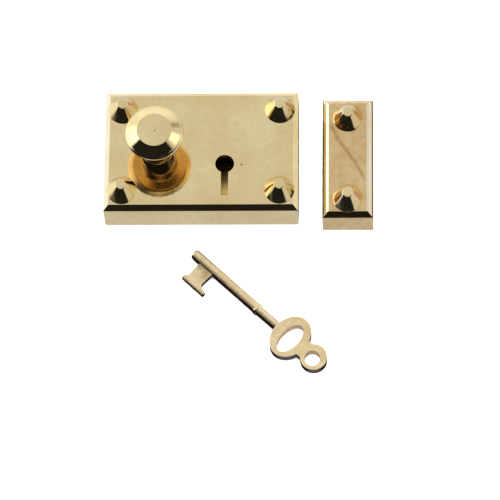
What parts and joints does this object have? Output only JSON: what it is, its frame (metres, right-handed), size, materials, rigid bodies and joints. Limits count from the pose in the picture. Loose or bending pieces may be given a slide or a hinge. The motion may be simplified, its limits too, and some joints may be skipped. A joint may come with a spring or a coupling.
{
  "type": "rim night latch",
  "caption": "Brass rim latch kit: boxed lock case with turned knob, spring latch, key-thrown deadbolt and cone-headed studs, its matching keep and a flat bow key.",
  "frame": {"origin": "centre of the lock case's flat back face, on the surface that the kit lies on", "axes": "+X from the case towards the keep, the way the bolts are thrown; +Y up the door; +Z out of the case's front, along the knob"},
  "size_m": [0.1054, 0.112, 0.037],
  "materials": {
    "polished_brass": "polished cast brass with faint casting waves",
    "plain_brass": "dull machined brass",
    "steel": "plain turned steel",
    "spring_steel": "dark spring steel"
  },
  "bodies": {
    "case": {"case_shell": "polished_brass", "back_plate": "plain_brass", "back_plate_screw_1": "plain_brass", "back_plate_screw_2": "plain_brass", "back_plate_screw_3": "plain_brass", "back_plate_screw_4": "plain_brass", "corner_stud_1": "polished_brass", "corner_stud_2": "polished_brass", "corner_stud_3": "polished_brass", "corner_stud_4": "polished_brass", "follower_spring": "spring_steel", "latch_spring": "spring_steel", "latch_spring_post": "plain_brass", "latch_guide_stud": "steel", "deadbolt_guide_stud": "steel", "tumbler_pivot": "steel", "front_ward": "plain_brass", "back_ward": "plain_brass"},
    "knob": {"knob": "polished_brass", "knob_grub_screw": "steel", "knob_spindle": "steel", "follower": "plain_brass"},
    "latch": {"latch_bolt": "polished_brass"},
    "deadbolt": {"deadbolt": "polished_brass"},
    "tumbler": {"tumbler": "plain_brass", "tumbler_spring": "spring_steel"},
    "keep": {"keep_box": "polished_brass", "keep_stud_1": "polished_brass", "keep_stud_2": "polished_brass"},
    "key": {"key": "polished_brass"}
  },
  "joints": [
    {"name": "knob_turn", "type": "hinge", "parent": "case", "child": "knob", "pos_m": [-0.0173, 0, 0], "axis": [0, 0, 1], "range_deg": [-60, 0]},
    {"name": "latch_slide", "type": "slide", "parent": "case", "child": "latch", "axis": [1, 0, 0], "range_m": [0, 0.01], "deforming": ["latch_spring"]},
    {"name": "deadbolt_slide", "type": "slide", "parent": "case", "child": "deadbolt", "axis": [1, 0, 0], "range_m": [0, 0.01]},
    {"name": "tumbler_lift", "type": "hinge", "parent": "case", "child": "tumbler", "pos_m": [-0.004, 0.0145, 0], "axis": [0, 0, 1], "range_deg": [0, 8], "stiffness_Nm_per_rad": 0.02, "springref_deg": -17.19, "deforming": ["tumbler_spring"]},
    {"name": "keep_lift", "type": "slide", "parent": "case", "child": "keep", "axis": [0, 0, 1], "range_m": [0, 0.03]},
    {"name": "key_lift", "type": "slide", "parent": "case", "child": "key", "axis": [0, 0, 1], "range_m": [0, 0.03]}
  ],
  "couplings": [
    {"joint": "latch_slide", "follows": "knob_turn", "m_per_rad": -0.0095493}
  ]
}
